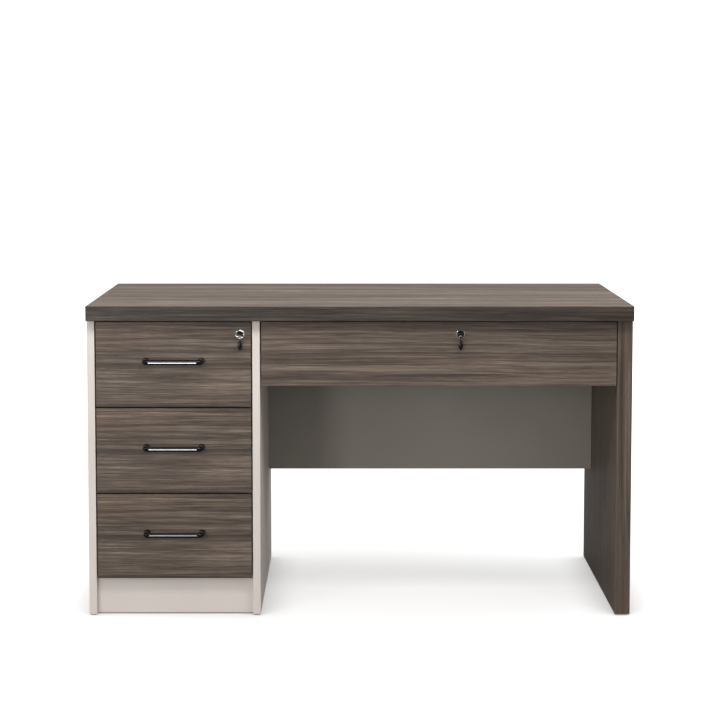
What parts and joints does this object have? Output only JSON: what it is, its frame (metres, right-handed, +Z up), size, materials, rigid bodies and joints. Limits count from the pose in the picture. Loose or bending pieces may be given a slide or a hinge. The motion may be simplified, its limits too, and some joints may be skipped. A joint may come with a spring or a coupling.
{
  "type": "writing desk with drawers",
  "caption": "Rectangular writing desk with a thick wood-grain top, a pedestal of stacked locking drawers at the left, a wide drawer over the kneehole, a panel leg and a modesty panel.",
  "frame": {"origin": "on the floor, under the middle of the desk's bounding box", "axes": "+X to the right along the desk's length as seen by the person who sits at it, +Y to the back, +Z up; the drawers open towards -Y"},
  "size_m": [1.3, 0.614, 0.75],
  "materials": {
    "desktop_laminate": "fine horizontal grey-brown wood grain, matt melamine",
    "front_laminate": "fine horizontal grey-brown wood grain, matt melamine",
    "leg_laminate": "fine vertical grey-brown wood grain, matt melamine",
    "beige_laminate": "plain warm beige melamine, matt",
    "greige_laminate": "plain greige melamine, matt",
    "box_board": "light grey melamine, matt",
    "box_bottom_board": "light grey hardboard, matt",
    "glide_plastic": "matt black",
    "dowel_beech": "fluted beech",
    "cam_zinc": "cast zinc, satin",
    "handle_black_nickel": "black nickel plate, high gloss",
    "plug_black": "gloss black",
    "lock_chrome": "bright chrome plate",
    "key_steel": "nickel-plated steel",
    "key_black_plastic": "gloss black moulding",
    "slide_zinc_steel": "zinc-plated cold-rolled steel",
    "screw_steel": "zinc-plated steel",
    "bar_aluminium": "extruded flat bar, natural satin"
  },
  "bodies": {
    "frame": {"desktop": "desktop_laminate", "left_side_panel": "beige_laminate", "pedestal_inner_panel": "beige_laminate", "right_leg_panel": "leg_laminate", "modesty_panel": "greige_laminate", "pedestal_back_panel": "greige_laminate", "pedestal_bottom_panel": "beige_laminate", "kickboard": "beige_laminate", "pedestal_top_rail": "beige_laminate", "floor_glides": "glide_plastic", "wood_dowels": "dowel_beech", "cam_discs": "cam_zinc", "cam_bolts": "screw_steel", "slide_cabinet_members": "slide_zinc_steel", "slide_cabinet_screws": "screw_steel", "gang_bar_guides": "slide_zinc_steel"},
    "gang_lock_bar": {"gang_lock_bar": "bar_aluminium"},
    "top_drawer": {"top_drawer_front": "front_laminate", "top_drawer_sides": "box_board", "top_drawer_back": "box_board", "top_drawer_bottom": "box_bottom_board", "top_drawer_handle": "handle_black_nickel", "top_drawer_screws": "screw_steel", "top_drawer_slide_members": "slide_zinc_steel", "top_drawer_catch": "slide_zinc_steel", "top_lock_housing": "lock_chrome"},
    "middle_drawer": {"middle_drawer_front": "front_laminate", "middle_drawer_sides": "box_board", "middle_drawer_back": "box_board", "middle_drawer_bottom": "box_bottom_board", "middle_drawer_handle": "handle_black_nickel", "middle_drawer_screws": "screw_steel", "middle_drawer_slide_members": "slide_zinc_steel", "middle_drawer_catch": "slide_zinc_steel"},
    "bottom_drawer": {"bottom_drawer_front": "front_laminate", "bottom_drawer_sides": "box_board", "bottom_drawer_back": "box_board", "bottom_drawer_bottom": "box_bottom_board", "bottom_drawer_handle": "handle_black_nickel", "bottom_drawer_screws": "screw_steel", "bottom_drawer_slide_members": "slide_zinc_steel", "bottom_drawer_catch": "slide_zinc_steel"},
    "centre_drawer": {"centre_drawer_front": "front_laminate", "centre_drawer_sides": "box_board", "centre_drawer_back": "box_board", "centre_drawer_bottom": "box_bottom_board", "centre_drawer_screws": "screw_steel", "centre_drawer_slide_members": "slide_zinc_steel", "centre_lock_housing": "lock_chrome"},
    "top_slide_middles": {"top_slide_middles": "slide_zinc_steel"},
    "middle_slide_middles": {"middle_slide_middles": "slide_zinc_steel"},
    "bottom_slide_middles": {"bottom_slide_middles": "slide_zinc_steel"},
    "centre_slide_middles": {"centre_slide_middles": "slide_zinc_steel"},
    "centre_lock_bolt": {"centre_lock_bolt": "slide_zinc_steel"},
    "top_lock_plug": {"top_lock_plug": "plug_black"},
    "top_key": {"top_key_blade": "key_steel"},
    "top_key_head": {"top_key_head": "key_black_plastic"},
    "centre_lock_plug": {"centre_lock_plug": "plug_black"},
    "centre_key": {"centre_key_blade": "key_steel"},
    "centre_key_head": {"centre_key_head": "key_black_plastic"}
  },
  "joints": [
    {"name": "top_drawer_slide", "type": "slide", "parent": "frame", "child": "top_drawer", "axis": [0, -1, 0], "range_m": [0, 0.43]},
    {"name": "top_slide_extend", "type": "slide", "parent": "frame", "child": "top_slide_middles", "axis": [0, -1, 0], "range_m": [0, 0.2151]},
    {"name": "middle_drawer_slide", "type": "slide", "parent": "frame", "child": "middle_drawer", "axis": [0, -1, 0], "range_m": [0, 0.43]},
    {"name": "middle_slide_extend", "type": "slide", "parent": "frame", "child": "middle_slide_middles", "axis": [0, -1, 0], "range_m": [0, 0.2151]},
    {"name": "bottom_drawer_slide", "type": "slide", "parent": "frame", "child": "bottom_drawer", "axis": [0, -1, 0], "range_m": [0, 0.43]},
    {"name": "bottom_slide_extend", "type": "slide", "parent": "frame", "child": "bottom_slide_middles", "axis": [0, -1, 0], "range_m": [0, 0.2151]},
    {"name": "centre_drawer_slide", "type": "slide", "parent": "frame", "child": "centre_drawer", "axis": [0, -1, 0], "range_m": [0, 0.38]},
    {"name": "centre_slide_extend", "type": "slide", "parent": "frame", "child": "centre_slide_middles", "axis": [0, -1, 0], "range_m": [0, 0.1901]},
    {"name": "top_lock_turn", "type": "hinge", "parent": "top_drawer", "child": "top_lock_plug", "pos_m": [-0.285, -0.255, 0.681], "axis": [0, -1, 0], "range_deg": [0, 90]},
    {"name": "top_key_pull", "type": "slide", "parent": "top_lock_plug", "child": "top_key", "axis": [0, -1, 0], "range_m": [0, 0.032]},
    {"name": "top_key_fold", "type": "hinge", "parent": "top_key", "child": "top_key_head", "pos_m": [-0.285, -0.2824, 0.681], "axis": [-1, 0, 0], "range_deg": [0, 90]},
    {"name": "centre_lock_turn", "type": "hinge", "parent": "centre_drawer", "child": "centre_lock_plug", "pos_m": [0.24, -0.255, 0.681], "axis": [0, -1, 0], "range_deg": [0, 90]},
    {"name": "centre_key_pull", "type": "slide", "parent": "centre_lock_plug", "child": "centre_key", "axis": [0, -1, 0], "range_m": [0, 0.032]},
    {"name": "centre_key_fold", "type": "hinge", "parent": "centre_key", "child": "centre_key_head", "pos_m": [0.24, -0.2824, 0.681], "axis": [-1, 0, 0], "range_deg": [0, 90]},
    {"name": "gang_bar_lift", "type": "slide", "parent": "frame", "child": "gang_lock_bar", "axis": [0, 0, 1], "range_m": [0, 0.009]},
    {"name": "centre_bolt_throw", "type": "slide", "parent": "centre_drawer", "child": "centre_lock_bolt", "axis": [0, 0, 1], "range_m": [0, 0.009]}
  ],
  "couplings": [
    {"joint": "top_slide_extend", "follows": "top_drawer_slide", "ratio": 0.5},
    {"joint": "middle_slide_extend", "follows": "middle_drawer_slide", "ratio": 0.5},
    {"joint": "bottom_slide_extend", "follows": "bottom_drawer_slide", "ratio": 0.5},
    {"joint": "centre_slide_extend", "follows": "centre_drawer_slide", "ratio": 0.5},
    {"joint": "top_lock_turn", "follows": "gang_bar_lift", "rad_per_m": 174.53},
    {"joint": "centre_lock_turn", "follows": "centre_bolt_throw", "rad_per_m": 174.53}
  ]
}
